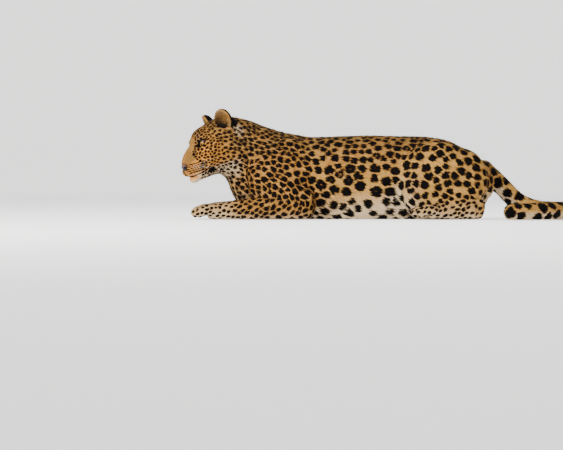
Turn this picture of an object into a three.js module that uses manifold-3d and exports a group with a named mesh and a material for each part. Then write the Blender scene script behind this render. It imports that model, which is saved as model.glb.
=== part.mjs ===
// A leopard at life size, lying on its belly with the head up, the forelegs stretched forward and the hind legs
// folded. Millimetres. The head points along -X, the animal's left side faces -Y, +Z is up, and the floor is the
// plane Z = 0. Masses of muscle and coat grow into one another in smooth fields, closed skins are wrapped over
// the fields, and neighbouring parts are trimmed against each other with a thin gap.
import * as THREE from "three";
import { mergeVertices } from "three/addons/utils/BufferGeometryUtils.js";
import Module from "manifold-3d";

const wasm = await Module();
wasm.setup();

// Driving dimensions.
const GAP = 0.35;
const BACK_HEIGHT = 268;
const EYE_RADIUS = 15.5;
const LID_THICKNESS = 2.3;
const EYE_OPENING = 13.5;
const EAR_HALF = { height: 35, width: 32, depth: 20 };
const EAR_WALL = 3.5;
const TOE_RADIUS = 15;
const TOE_SPREAD = 19;
const MOUTH_GROOVE = 2.2;

// The head's own frame has +X towards the nose, +Y to the animal's left and +Z to the crown.
const HEAD_AT = new THREE.Vector3(-395, -44, 235);
const HEAD_YAW = 27;
const HEAD_PITCH = 20;
const HEAD_ROLL = 8;

// The whole animal is shifted so that the origin lies under the middle of its box.
const BODY_SHIFT = new THREE.Vector3(-129.55, 74.45, 0);

const LEFT = -1;
const RIGHT = 1;
const UP = new THREE.Vector3(0, 0, 1);

// Fields: functions of a point, negative inside a mass and close to the distance in millimetres near its skin.

// A station of a limb: the middle of a section, its half width to the side, and its half height up and down.
const station = (x, y, z, side, up, down = up) => ({
  at: new THREE.Vector3(x, y, z),
  size: new THREE.Vector3(side, up, down),
});

const smoothCurve = (points) => new THREE.CatmullRomCurve3(points, false, "catmullrom", 0.5);

// Extra stations on a smooth curve through the given ones.
function refine(stations, steps) {
  const places = smoothCurve(stations.map((s) => s.at));
  const sizes = smoothCurve(stations.map((s) => s.size));
  const count = (stations.length - 1) * steps;
  return Array.from({ length: count + 1 }, (_, i) => ({
    at: places.getPoint(i / count),
    size: sizes.getPoint(i / count),
  }));
}

// The distance to an ellipsoid of half sizes a, b and c, from a point in its own axes.
function ellipsoidDistance(x, y, z, a, b, c) {
  const k0 = Math.hypot(x / a, y / b, z / c);
  const k1 = Math.hypot(x / (a * a), y / (b * b), z / (c * c));
  return k1 < 1e-9 ? -Math.min(a, b, c) : (k0 * (k0 - 1)) / k1;
}

// An ellipsoid, tilted about the Y axis by an angle in degrees.
function ball(x, y, z, rx, ry, rz, tilt = 0) {
  const turn = THREE.MathUtils.degToRad(tilt);
  const [c, s] = [Math.cos(turn), Math.sin(turn)];
  return (p) => {
    const [dx, dy, dz] = [p.x - x, p.y - y, p.z - z];
    return ellipsoidDistance(c * dx - s * dz, dy, s * dx + c * dz, rx, ry, rz);
  };
}

const JOINT_SOFTNESS = 5;
const SMOOTH_STEPS = 4;
const END_ROUNDNESS = 0.8;
const DISC_SHARE = 0.12;

// A limb through the stations, with elliptical sections and round ends.
function limb(stations) {
  const fine = refine(stations, SMOOTH_STEPS);
  const disc = (s) => DISC_SHARE * s.size.x + 2;
  const roundEnd = (s) => END_ROUNDNESS * Math.min(s.size.x, s.size.y);
  const links = fine.slice(1).map((to, i) => {
    const from = fine[i];
    const along = to.at.clone().sub(from.at);
    const length = along.length();
    along.divideScalar(length);
    const up = UP.clone().addScaledVector(along, -UP.dot(along)).normalize();
    const side = up.clone().cross(along);
    const capFrom = i === 0 ? roundEnd(from) : disc(from);
    const capTo = i + 2 === fine.length ? roundEnd(to) : disc(to);
    return { from, to, along, length, up, side, capFrom, capTo };
  });
  const q = new THREE.Vector3();
  const mix = THREE.MathUtils.lerp;
  return (p) => {
    let nearest = 1e9;
    for (const { from, to, along, length, up, side, capFrom, capTo } of links) {
      q.subVectors(p, from.at);
      const w = q.dot(along);
      const t = THREE.MathUtils.clamp(w / length, 0, 1);
      const over = w - t * length;
      const v = q.dot(up);
      const halfSide = mix(from.size.x, to.size.x, t);
      const halfUp = v > 0 ? mix(from.size.y, to.size.y, t) : mix(from.size.z, to.size.z, t);
      const d = ellipsoidDistance(q.dot(side), v, over, halfSide, halfUp, over < 0 ? capFrom : capTo);
      nearest = softMin(nearest, d, JOINT_SOFTNESS);
    }
    return nearest;
  };
}

function softMin(a, b, k) {
  const h = Math.max(k - Math.abs(a - b), 0) / k;
  return Math.min(a, b) - h * h * k * 0.25;
}

// Masses that grow into one another over a distance of k millimetres.
const blend = (k, ...fields) => (p) => fields.reduce((d, f) => softMin(d, f(p), k), 1e9);

// The same mass on both sides of the head: make(y) is called with +1 for its left and -1 for its right.
const pair = (make) => [make(1), make(-1)];

// Solids.

function solidOf(geometry) {
  const bare = new THREE.BufferGeometry().setAttribute("position", geometry.getAttribute("position"));
  if (geometry.index) bare.setIndex(geometry.index);
  const merged = mergeVertices(bare, 1e-3);
  const index = merged.index.array;
  const kept = [];
  for (let i = 0; i < index.length; i += 3) {
    const [a, b, c] = [index[i], index[i + 1], index[i + 2]];
    if (a !== b && b !== c && a !== c) kept.push(a, b, c);
  }
  const solid = new wasm.Manifold(new wasm.Mesh({
    numProp: 3,
    vertProperties: new Float32Array(merged.attributes.position.array),
    triVerts: new Uint32Array(kept),
  }));
  if (solid.volume() > 0) return solid;
  for (let i = 0; i < kept.length; i += 3) [kept[i + 1], kept[i + 2]] = [kept[i + 2], kept[i + 1]];
  merged.setIndex(kept);
  return solidOf(merged);
}

const STEP_OUT = 5;
const HALVINGS = 22;
const FARTHEST = 400;

// How far from a point the field first rises past a level, going one way.
function reach(field, from, direction, level = 0) {
  const p = new THREE.Vector3();
  const inside = (r) => field(p.copy(from).addScaledVector(direction, r)) < level;
  let outer = STEP_OUT;
  while (inside(outer) && outer < FARTHEST) outer += STEP_OUT;
  let inner = outer - STEP_OUT;
  for (let i = 0; i < HALVINGS; i++) {
    const middle = (inner + outer) / 2;
    if (inside(middle)) inner = middle;
    else outer = middle;
  }
  return outer;
}

// A closed skin over a field. A capsule's points are carried out from a spine until they meet the field's surface.
// A level above 0 gives a slightly larger copy, to trim a neighbour with. The reference is a way across the spine.
function wrap(field, spine, [around, along, cap], level = 0, reference = UP) {
  const curve = smoothCurve(spine.map((s) => new THREE.Vector3(...s)));
  const capsule = new THREE.CapsuleGeometry(1, 2, cap, around, along);
  const position = capsule.getAttribute("position");
  for (let i = 0; i < position.count; i++) {
    const [x, y, z] = [position.getX(i), position.getY(i), position.getZ(i)];
    const axial = THREE.MathUtils.clamp(y, -1, 1);
    const t = (axial + 1) / 2;
    const tangent = curve.getTangent(t);
    const up = reference.clone().addScaledVector(tangent, -reference.dot(tangent)).normalize();
    const side = up.clone().cross(tangent);
    const direction = side.multiplyScalar(x).addScaledVector(tangent, y - axial).addScaledVector(up, -z);
    direction.normalize();
    const from = curve.getPoint(t);
    const far = from.clone().addScaledVector(direction, reach(field, from, direction, level));
    position.setXYZ(i, far.x, far.y, far.z);
  }
  return solidOf(capsule);
}

// A box that fills everything on one side of a plane, on the side that the normal points to.
const FAR = 3000;
function halfSpace(point, normal) {
  const box = new THREE.BoxGeometry(FAR, FAR, FAR);
  box.translate(0, 0, FAR / 2);
  box.applyQuaternion(new THREE.Quaternion().setFromUnitVectors(UP, normal));
  box.translate(point.x, point.y, point.z);
  return solidOf(box);
}

const underFloor = halfSpace(new THREE.Vector3(), new THREE.Vector3(0, 0, -1));
const onFloor = (solid) => solid.subtract(underFloor);

const PAST_CUT = 45;

// A cut plane, with the side in front of it and the side behind it, half a gap away each.
function cutPlane(x, y, z, nx, ny, nz) {
  const at = new THREE.Vector3(x, y, z);
  const normal = new THREE.Vector3(nx, ny, nz).normalize();
  const shifted = (d) => at.clone().addScaledVector(normal, d);
  return {
    front: (solid) => solid.intersect(halfSpace(shifted(GAP / 2), normal)),
    behind: (solid) => solid.subtract(halfSpace(shifted(-GAP / 2), normal)),
    // The field, stopped a little past the plane, so that a wrapped skin ends there.
    upTo: (field, past = PAST_CUT) => (p) => Math.max(field(p), normal.dot(at) - normal.dot(p) - past),
    downTo: (field, past = PAST_CUT) => (p) => Math.max(field(p), normal.dot(p) - normal.dot(at) - past),
  };
}

// A round bar along a curve.
function bar(points, radius, sides, steps) {
  const section = new THREE.Shape();
  for (let i = 0; i < sides; i++) {
    const a = (i / sides) * Math.PI * 2;
    const corner = [Math.cos(a) * radius, Math.sin(a) * radius];
    if (i === 0) section.moveTo(...corner);
    else section.lineTo(...corner);
  }
  const extrudePath = smoothCurve(points);
  return solidOf(new THREE.ExtrudeGeometry(section, { extrudePath, steps, bevelEnabled: false }));
}

// An ellipsoid with its axes along the given directions.
function egg(at, sizes, axes, segments) {
  const sphere = new THREE.SphereGeometry(1, segments, Math.round(segments * 0.6));
  const [x, y, z] = axes.map((a, i) => a.clone().multiplyScalar(sizes[i]));
  sphere.applyMatrix4(new THREE.Matrix4().makeBasis(x, y, z).setPosition(at));
  return solidOf(sphere);
}

const joined = (first, ...others) => others.reduce((a, b) => a.add(b), first);
const trimmed = (solid, ...cutters) => cutters.reduce((a, b) => a.subtract(b), solid);

// Trunk and neck.

// From the rump to the front of the chest. The belly and breast press flat on the floor.
const trunkField = limb([
  station(468, 0, 146, 70, 42, 84),
  station(430, 0, 138, 94, 84, 118),
  station(370, 0, 132, 106, 119, 136),
  station(290, 0, 130, 108, BACK_HEIGHT - 133, 150),
  station(200, 0, 128, 110, BACK_HEIGHT - 129, 158),
  station(100, 0, 128, 118, BACK_HEIGHT - 127, 162),
  station(0, 0, 128, 119, BACK_HEIGHT - 130, 160),
  station(-90, 0, 130, 110, BACK_HEIGHT - 134, 155),
  station(-170, 0, 135, 98, 132, 150),
  station(-235, 0, 128, 86, 108, 124),
  station(-284, 0, 114, 68, 70, 84),
]);

// From between the shoulders up to the skull, bending towards the left.
const neckField = limb([
  station(-140, 0, 160, 90, 104, 104),
  station(-205, -2, 184, 86, 101, 110),
  station(-262, -9, 206, 81, 99, 116),
  station(-312, -20, 228, 76, 97, 104),
  station(-352, -32, 242, 71, 88, 86),
]);

// Head.

const eyeAt = (y) => new THREE.Vector3(32, y * 30.5, 15.5);
const muzzleField = blend(
  14,
  ball(-38, 0, 20, 76, 62, 56),
  ball(16, 0, 22, 46, 47, 45),
  ball(66, 0, -50, 42, 30, 30),
  limb([
    station(46, 0, 6, 28, 28, 30),
    station(66, 0, -3, 25, 27, 30),
    station(88, 0, -17, 22, 24, 26),
    station(109, 0, -33, 17, 15, 20),
  ]),
  limb([
    station(-20, 0, -52, 50, 34, 36),
    station(20, 0, -62, 42, 26, 29),
    station(56, 0, -68, 30, 20, 24),
    station(90, 0, -76, 22, 14, 16),
  ]),
  ...pair((y) => ball(8, y * 42, -16, 50, 31, 44)),
  ...pair((y) => ball(-24, y * 42, -38, 44, 29, 44)),
  ...pair((y) => ball(42, y * 33, -6, 30, 20, 24)),
  ...pair((y) => limb([
    station(38, y * 30, -34, 24, 28, 28),
    station(62, y * 25, -40, 22, 26, 26),
    station(86, y * 19, -46, 20, 22, 22),
  ])),
);
const headField = blend(
  7,
  muzzleField,
  ...pair((y) => ball(39, y * 25, 35, 20, 17, 10.5, 22)),
  ...pair((y) => ball(88, y * 20, -47, 30, 26, 22, 12)),
  ...pair((y) => ball(-58, y * 46, 38, 24, 22, 26)),
  ball(97, 0, -79, 14, 22, 15),
  ...pair((y) => ball(eyeAt(y).x, eyeAt(y).y, eyeAt(y).z, ...Array(3).fill(EYE_RADIUS + LID_THICKNESS))),
);
const HEAD_SPINE = [[-60, 0, 6], [-10, 0, 0], [40, 0, -24], [76, 0, -46]];

const headTurn = new THREE.Matrix4().compose(
  HEAD_AT,
  new THREE.Quaternion().setFromEuler(new THREE.Euler(
    THREE.MathUtils.degToRad(HEAD_ROLL),
    THREE.MathUtils.degToRad(HEAD_PITCH),
    THREE.MathUtils.degToRad(180 + HEAD_YAW),
    "ZYX",
  )),
  new THREE.Vector3(1, 1, 1),
);
const bodyToHead = headTurn.clone().invert();
const toBody = (solid) => solid.transform(headTurn.elements);

// A field of the body, read from the head's frame, and the other way round.
const seenFromHead = (field) => {
  const q = new THREE.Vector3();
  return (p) => field(q.copy(p).applyMatrix4(headTurn));
};
const seenFromBody = (field) => {
  const q = new THREE.Vector3();
  return (p) => field(q.copy(p).applyMatrix4(bodyToHead));
};

const NECK_BLEND = 22;
const bodyField = blend(NECK_BLEND, trunkField, neckField);
const headOnNeck = blend(NECK_BLEND, headField, seenFromHead(neckField));
const neckWithBoth = blend(NECK_BLEND, bodyField, seenFromBody(headField));

// The cut behind the cheeks, in the head's frame and in the body's, and the cut from the withers to the breast.
const NAPE = new THREE.Vector3(-62, 0, 0);
const NAPE_FACING = new THREE.Vector3(0.9, 0, 0.44).normalize();
const napeInHead = cutPlane(...NAPE.toArray(), ...NAPE_FACING.toArray());
const napeAt = NAPE.clone().applyMatrix4(headTurn);
const napeWay = NAPE_FACING.clone().transformDirection(headTurn);
const napeInBody = cutPlane(...napeAt.toArray(), ...napeWay.toArray());
const withers = cutPlane(-215, 0, 190, -0.68, 0, 0.73);
const ribs = cutPlane(-30, 0, 0, 1, 0, 0);
const loin = cutPlane(225, 0, 0, 1, 0, 0);

// Lids leave an almond opening, made where two discs cross, in the plane that the lids face.
const LID_CUT = 21;
const lidWay = (y) => new THREE.Vector3(0.8, y * 0.58, 0.12).normalize();
const cornerWay = (y) => new THREE.Vector3(0.5, -y * 0.72, -0.42);
function lidOpening(y) {
  const out = lidWay(y);
  const along = cornerWay(y).addScaledVector(out, -cornerWay(y).dot(out)).normalize();
  const across = out.clone().cross(along);
  const radius = EYE_RADIUS + 2;
  const disc = (sign) => {
    const cylinder = new THREE.CylinderGeometry(radius, radius, 30, 32);
    cylinder.applyMatrix4(new THREE.Matrix4().makeBasis(along, out, across));
    const middle = eyeAt(y).addScaledVector(out, LID_CUT);
    middle.addScaledVector(across, sign * (radius - EYE_OPENING / 2));
    cylinder.translate(...middle.toArray());
    return solidOf(cylinder);
  };
  return disc(1).intersect(disc(-1));
}

// A point of the head's surface, going out sideways or forwards from the middle plane.
const onMuzzle = (x, z, direction) => {
  const from = new THREE.Vector3(x, 0, z);
  return from.addScaledVector(direction, reach(headField, from.clone(), direction));
};
function mouthLine() {
  const sideway = (y, forward) => new THREE.Vector3(forward, y, 0).normalize();
  const half = (y) => [[48, -65, 0], [66, -70, 0], [82, -71, 0.25], [90, -70, 1]].map(
    ([x, z, forward]) => onMuzzle(x, z, sideway(y, forward)),
  );
  return [...half(1), onMuzzle(80, -67, new THREE.Vector3(1, 0, 0)), ...half(-1).reverse()];
}

// Ears: a cup is an egg with a wider egg scooped out of its front.
const EAR_BASE = (y) => new THREE.Vector3(-45, y * 47, 44);
function ear(y) {
  const rise = new THREE.Vector3(-0.04, y * 0.56, 0.83).normalize();
  const facing = new THREE.Vector3(0.93, y * 0.36, 0);
  facing.addScaledVector(rise, -facing.dot(rise)).normalize();
  const across = rise.clone().cross(facing);
  const middle = EAR_BASE(y).addScaledVector(rise, 24);
  const { height, width, depth } = EAR_HALF;
  const shell = egg(middle, [depth, width, height], [facing, across, rise], 18);
  const hollow = egg(
    middle.clone().addScaledVector(facing, depth * 0.45).addScaledVector(rise, 2),
    [depth * 1.45 - EAR_WALL, width - EAR_WALL, height - EAR_WALL],
    [facing, across, rise],
    18,
  );
  return shell.subtract(hollow);
}

// Legs. Each maker takes the side, LEFT or RIGHT.

// Shoulder blade and upper arm, down to the elbow on the floor.
const shoulderField = (s) => blend(
  26,
  limb([
    station(-128, s * 60, 222, 27, 40, 40),
    station(-180, s * 74, 178, 34, 56, 52),
    station(-232, s * 86, 124, 38, 56, 54),
  ]),
  limb([
    station(-238, s * 90, 112, 38, 54, 60),
    station(-165, s * 106, 88, 40, 64, 66),
    station(-100, s * 118, 58, 36, 44, 50),
  ]),
  ball(-150, s * 96, 130, 72, 36, 74),
);
const forearmField = (s) => limb([
  station(-92, s * 118, 42, 34, 38, 46),
  station(-165, s * 116, 44, 34, 38, 48),
  station(-240, s * 112, 40, 30, 34, 44),
  station(-314, s * 108, 34, 27, 30, 38),
]);
const thighField = (s) => blend(
  24,
  ball(322, s * 90, 148, 114, 60, 100),
  ball(400, s * 72, 134, 84, 62, 94, -12),
  ball(272, s * 112, 84, 64, 48, 66),
  ball(380, s * 96, 84, 80, 46, 60),
);
const shankField = (s) => limb([
  station(282, s * 116, 56, 38, 34, 60),
  station(340, s * 122, 50, 34, 32, 54),
  station(400, s * 124, 44, 29, 30, 46),
  station(452, s * 124, 38, 24, 30, 40),
]);

const FOOT_GRID = [14, 4, 2];
const TOE_GRID = [8, 2, 2];

// A paw: the middle foot, and four toes side by side, the middle two a little longer.
function paw(wrist, knuckles, width) {
  const forward = knuckles.clone().sub(wrist).setZ(0).normalize();
  const across = new THREE.Vector3(-forward.y, forward.x, 0);
  const at = (along, sideways, z) => [
    knuckles.x + forward.x * along + across.x * sideways,
    knuckles.y + forward.y * along + across.y * sideways,
    z,
  ];
  const half = wrist.distanceTo(knuckles) / 2;
  const middle = limb([
    station(...wrist.toArray(), 27, 28, 38),
    station(...at(-half, 0, 33), width * 0.84, 25, 38),
    station(...at(0, 0, 30), width, 24, 34),
  ]);
  const foot = wrap(middle, [at(-2 * half + 8, 0, 31), at(-6, 0, 27)], FOOT_GRID);
  const toes = [-1.5, -0.5, 0.5, 1.5].map((place) => {
    const long = Math.abs(place) < 1 ? 14 : 0;
    const sideways = place * TOE_SPREAD;
    const toe = limb([
      station(...at(-14, sideways * 0.85, 32), TOE_RADIUS, TOE_RADIUS + 3),
      station(...at(16 + long, sideways, 32), TOE_RADIUS, TOE_RADIUS + 3),
      station(...at(40 + long, sideways * 1.06, 20), TOE_RADIUS - 1, TOE_RADIUS + 1),
    ]);
    const toeSpine = [at(-6, sideways * 0.88, 31), at(14 + long, sideways, 31), at(35 + long, sideways * 1.05, 22)];
    return wrap(toe, toeSpine, TOE_GRID);
  });
  return joined(foot, ...toes);
}

// The tail leaves the rump, comes down to the floor and curves round towards the left.
const TAIL = [
  station(474, 0, 158, 34, 33),
  station(530, 4, 108, 31, 31),
  station(585, 10, 56, 30, 30),
  station(650, 4, 31, 29, 29, 31),
  station(702, -44, 29, 28, 28, 30),
  station(722, -115, 29, 28, 28, 30),
  station(706, -190, 29, 28, 28, 30),
  station(662, -250, 29, 28, 28, 30),
  station(602, -290, 28, 27, 27, 29),
  station(536, -312, 27, 25, 25, 28),
];
const tailField = limb(TAIL);
// Each cut is at one of the stations, square to the way the tail runs there.
const TAIL_CUTS = [[4, 0.52, -0.86], [7, -0.72, -0.69]];

// Materials and nodes.

const finish = (name, color, roughness) => (
  new THREE.MeshStandardMaterial({ name, color, roughness, metalness: 0 })
);
const coat = finish("coat", 0xb98a4e, 0.85);
const eyeShine = finish("eye", 0xb48a2c, 0.1);
const noseSkin = finish("nose", 0x5c3a30, 0.55);

function meshOf(name, solid, material) {
  const pieces = solid.decompose();
  const largest = pieces.reduce((a, b) => (b.volume() > a.volume() ? b : a));
  const { vertProperties, triVerts, numProp } = largest.getMesh();
  const position = new Float32Array((vertProperties.length / numProp) * 3);
  for (let i = 0; i < position.length / 3; i++) {
    position.set(vertProperties.subarray(i * numProp, i * numProp + 3), i * 3);
  }
  const geometry = new THREE.BufferGeometry();
  geometry.setAttribute("position", new THREE.BufferAttribute(position, 3));
  geometry.setIndex(new THREE.BufferAttribute(new Uint32Array(triVerts), 1));
  geometry.computeVertexNormals();
  const mesh = new THREE.Mesh(geometry, material);
  mesh.name = name;
  return mesh;
}

const leopard = new THREE.Group();
leopard.position.copy(BODY_SHIFT);
const headGroup = new THREE.Group();
headGroup.applyMatrix4(headTurn);
leopard.add(headGroup);
const addToBody = (name, solid) => leopard.add(meshOf(name, solid, coat));
const addToHead = (name, solid, material = coat) => headGroup.add(meshOf(name, solid, material));

// Head, with eyes, nose and ears.
const HEAD_GRID = [36, 13, 8];
const headSkin = (level) => wrap(napeInHead.upTo(headOnNeck), HEAD_SPINE, HEAD_GRID, level);
const EGG_AXES = [new THREE.Vector3(1, 0, 0), new THREE.Vector3(0, 1, 0), new THREE.Vector3(0, 0, 1)];
const eyeball = (y, gap) => egg(eyeAt(y), Array(3).fill(EYE_RADIUS + gap), EGG_AXES, 16);
const nosePad = (gap) => egg(new THREE.Vector3(111, 0, -33), [14 + gap, 18 + gap, 12 + gap], EGG_AXES, 14);
const nostril = (y) => egg(new THREE.Vector3(121, y * 10, -36), [8, 5, 4.5], EGG_AXES, 8);
const philtrum = bar(
  [-46, -56, -66].map((z) => onMuzzle(80, z, new THREE.Vector3(1, 0, 0))),
  MOUTH_GROOVE * 0.8, 5, 3,
);
const mouth = bar(mouthLine(), MOUTH_GROOVE, 5, 18);
const head = trimmed(
  napeInHead.front(headSkin(0)),
  ...pair((y) => eyeball(y, GAP)),
  ...pair(lidOpening),
  nosePad(GAP),
  philtrum,
  mouth,
);
addToHead("head", head);
addToHead("nose", trimmed(nosePad(0), ...pair(nostril)), noseSkin);
for (const [y, word] of [[1, "left"], [-1, "right"]]) {
  addToHead(`eye_${word}`, eyeball(y, 0), eyeShine);
  addToHead(`ear_${word}`, trimmed(ear(y), headSkin(GAP)));
}

// Legs.
const LEG_GRID = [18, 6, 4];
const ARM_GRID = [14, 4, 2];
const THIGH_GRID = [20, 5, 4];
const TAIL_GRID = [10, 22, 2];
const TRUNK_GRID = [28, 16, 4];
const NECK_GRID = [28, 6, 4];
const TRUNK_SPINE = [
  [448, 0, 148], [350, 0, 134], [100, 0, 130], [-100, 0, 130], [-200, 0, 126], [-238, 0, 116],
];
const NECK_SPINE = [[-236, -6, 194], [-268, -12, 204], [-298, -20, 214], [-322, -27, 222]];
const trunkSkin = (level) => wrap(withers.downTo(neckWithBoth), TRUNK_SPINE, TRUNK_GRID, level);
const neckLength = napeInBody.downTo(withers.upTo(neckWithBoth));
const neckSkin = (level) => wrap(neckLength, NECK_SPINE, NECK_GRID, level);
const torso = joined(trunkSkin(GAP), neckSkin(GAP));
const ACROSS_UPRIGHT = new THREE.Vector3(1, 0, 0);
for (const [side, word] of [[LEFT, "left"], [RIGHT, "right"]]) {
  const shoulderSpine = [[-148, side * 78, 180], [-154, side * 92, 134], [-150, side * 104, 88]];
  const shoulder = (level) => wrap(shoulderField(side), shoulderSpine, LEG_GRID, level, ACROSS_UPRIGHT);
  const forearmSpine = [[-105, side * 118, 42], [-200, side * 114, 42], [-302, side * 109, 36]];
  const forearm = (level) => wrap(forearmField(side), forearmSpine, ARM_GRID, level);
  const forepaw = paw(new THREE.Vector3(-316, side * 108, 33), new THREE.Vector3(-392, side * 108, 28), 37);
  const thighSpine = [[288, side * 104, 112], [330, side * 92, 138], [385, side * 80, 138]];
  const thigh = (level) => wrap(thighField(side), thighSpine, THIGH_GRID, level);
  const shankSpine = [[300, side * 118, 52], [436, side * 124, 40]];
  const shank = (level) => wrap(shankField(side), shankSpine, ARM_GRID, level);
  const hindfoot = paw(new THREE.Vector3(430, side * 134, 36), new THREE.Vector3(302, side * 140, 30), 36);
  const addLeg = (name, solid, ...cutters) => (
    addToBody(`${name}_${word}`, onFloor(trimmed(solid, torso, ...cutters)))
  );
  addLeg("shoulder", shoulder(0));
  addLeg("forearm", forearm(0), shoulder(GAP));
  addLeg("forepaw", forepaw, forearm(GAP));
  addLeg("thigh", thigh(0));
  addLeg("shank", shank(0), thigh(GAP));
  addLeg("hindfoot", hindfoot, shank(GAP), thigh(GAP));
}

// Trunk in three lengths, neck, and tail in three lengths.
const trunk = onFloor(withers.behind(trunkSkin(0)));
addToBody("chest", ribs.behind(trunk));
addToBody("belly", ribs.front(loin.behind(trunk)));
addToBody("rump", loin.front(trunk));
addToBody("neck", napeInBody.behind(withers.front(neckSkin(0))));
const tail = onFloor(wrap(tailField, TAIL.map((s) => s.at.toArray()), TAIL_GRID).subtract(torso));
const [firstCut, lastCut] = TAIL_CUTS.map(([i, x, y]) => cutPlane(...TAIL[i].at.toArray(), x, y, 0));
addToBody("tail_base", firstCut.behind(tail));
addToBody("tail_middle", lastCut.behind(firstCut.front(tail)));
addToBody("tail_end", lastCut.front(firstCut.front(tail)));

export default leopard;
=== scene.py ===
"""A leopard at life size, lying on its belly with its head turned to its left.

The flesh is one skin wrapped over soft masses, in millimetres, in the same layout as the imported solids.
Spots and rosettes are placed on that skin, and short tufts of fur follow the lie of the coat over it.
"""
import math
from functools import cache

import bpy
import numpy as np
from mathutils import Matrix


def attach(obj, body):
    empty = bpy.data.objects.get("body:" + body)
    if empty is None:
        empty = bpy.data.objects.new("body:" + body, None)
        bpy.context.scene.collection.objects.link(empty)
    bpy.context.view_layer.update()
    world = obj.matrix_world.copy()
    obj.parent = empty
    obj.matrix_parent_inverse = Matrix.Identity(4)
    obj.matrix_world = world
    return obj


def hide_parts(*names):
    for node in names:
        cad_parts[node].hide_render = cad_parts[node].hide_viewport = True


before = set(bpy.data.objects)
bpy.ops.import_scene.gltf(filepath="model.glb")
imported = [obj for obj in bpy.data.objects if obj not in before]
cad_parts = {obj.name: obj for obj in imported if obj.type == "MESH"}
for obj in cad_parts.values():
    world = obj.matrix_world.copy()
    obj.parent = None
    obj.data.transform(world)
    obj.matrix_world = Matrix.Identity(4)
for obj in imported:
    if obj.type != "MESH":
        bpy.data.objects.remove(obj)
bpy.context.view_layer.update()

import openvdb
from bpy.props import FloatProperty, FloatVectorProperty, IntProperty, PointerProperty
from mathutils import Vector

bl_info = {
    "name": "Leopard Lying Down",
    "version": (1, 0, 0),
    "blender": (4, 5, 0),
    "location": "View3D > Sidebar > Leopard",
    "description": "A lying leopard with skin, markings, fur, eyes, nose and whiskers",
    "category": "Add Mesh",
}


def vec(*values):
    return np.array(values)


def norm(rows):
    return np.linalg.norm(rows, axis=1)


# The layout is in millimetres. This moves it into the row's frame.
SHIFT = vec(-129.55, 74.45, 0.0)
MM = 0.001

# The stage is in metres. Each lamp has a place, a size and a power, and all point at one target.
ROOM_RADIUS, ROOM_CURVE, ROOM_HEIGHT, ROOM_SIDES = 13.0, 3.0, 12.0, 64
LAMPS = {
    "key_light": ((-2.9, -2.6, 2.8), 1.2, 330),
    "fill_light": ((3.4, -3.4, 1.6), 3.0, 30),
    "top_light": ((0.4, 0.9, 4.0), 3.0, 95),
}
LAMP_TARGET = Vector((-0.1, 0, 0.15))
CAMERA_RISE = 0.17

# From here on lengths are in millimetres and angles in degrees.
CAMERA_AIM = vec(-171.0, 0.0, -19.0)

EYE_RADIUS = 15.5
EYE_OPENING = 13.5
LID_THICKNESS = 2.3
LID_RADIUS = EYE_RADIUS + 2
LID_OFFSET = LID_RADIUS - EYE_OPENING / 2
NOSE_AT = vec(111, 0, -33)
NOSE_SIZE = vec(14.0, 18.0, 12.0)
NOSE_GAP = 0.2
MUZZLE_TIP = vec(108, 0, -45)
FORWARD = vec(1.0, 0, 0)
EAR_HEIGHT, EAR_WIDTH, EAR_DEPTH, EAR_WALL = 35.0, 32.0, 20.0, 5.0
TOE_RADIUS, TOE_SPREAD = 15.0, 19.0
HEAD_AT = vec(-395.0, -44.0, 235.0)
HEAD_YAW, HEAD_PITCH, HEAD_ROLL = 27.0, 20.0, 8.0
SIDES = ((1, "left"), (-1, "right"))
BODY_COAT, HEAD_COAT = 4.5, 2.4

FAR = 60.0
MARGIN = 30.0
LIMB_STEPS = 4
UP = vec(0.0, 0.0, 1.0)

# Spans of the skin's grid along X, Y and Z as (start, end, step), and the step and band of its first pass.
SKIN_GRID = (
    ((-500, -290, 2.3), (-290, 762, 6)),
    ((-348, -190, 5), (-190, 90, 2.6), (90, 200, 5)),
    ((-8, 70, 3.5), (70, 366, 2.6)),
)
COARSE_STEP, COARSE_BAND = 12, 16.0
PARTED_AT = -255


# Fields: functions of points, negative inside a mass, close to the distance in millimetres near its skin.

def soft_min(a, b, k):
    h = np.maximum(k - np.abs(a - b), 0) / k
    return np.minimum(a, b) - h * h * k * 0.25


def soft_max(a, b, k):
    return -soft_min(-a, -b, k)


def smooth(low, high, x):
    t = np.clip((x - low) / (high - low), 0, 1)
    return t * t * (3 - 2 * t)


def unit(v):
    return v / np.maximum(np.linalg.norm(v, axis=-1, keepdims=True), 1e-9)


def heading(*values):
    return unit(np.array(values))


def ellipsoid(q, size):
    k0 = np.sqrt(((q / size) ** 2).sum(1))
    k1 = np.sqrt(((q / size**2) ** 2).sum(1))
    return np.where(k1 < 1e-6, -size.min(-1), k0 * (k0 - 1) / np.maximum(k1, 1e-6))


def spline(points, t):
    """A smooth curve through the points, read at t from 0 to their number less one."""
    points = np.asarray(points, float)
    padded = np.vstack([2 * points[0] - points[1], points, 2 * points[-1] - points[-2]])
    i = np.clip(t.astype(int), 0, len(points) - 2)
    w = (t - i)[:, None]
    p0, p1, p2, p3 = (padded[i + k] for k in range(4))
    m1, m2 = (p2 - p0) / 2, (p3 - p1) / 2
    w2, w3 = w * w, w * w * w
    return (2 * w3 - 3 * w2 + 1) * p1 + (w3 - 2 * w2 + w) * m1 + (3 * w2 - 2 * w3) * p2 + (w3 - w2) * m2


def ball(x, y, z, rx, ry, rz, tilt=0.0):
    centre, size = np.array([x, y, z], float), np.array([rx, ry, rz], float)
    c, s = math.cos(math.radians(tilt)), math.sin(math.radians(tilt))
    turn = np.array([[c, 0, s], [0, 1, 0], [-s, 0, c]])
    reach = size.max() + MARGIN

    def field(p):
        q = p - centre
        near = (np.abs(q) < reach).all(1)
        out = np.full(len(p), FAR)
        out[near] = ellipsoid(q[near] @ turn, size)
        return out

    return field


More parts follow.
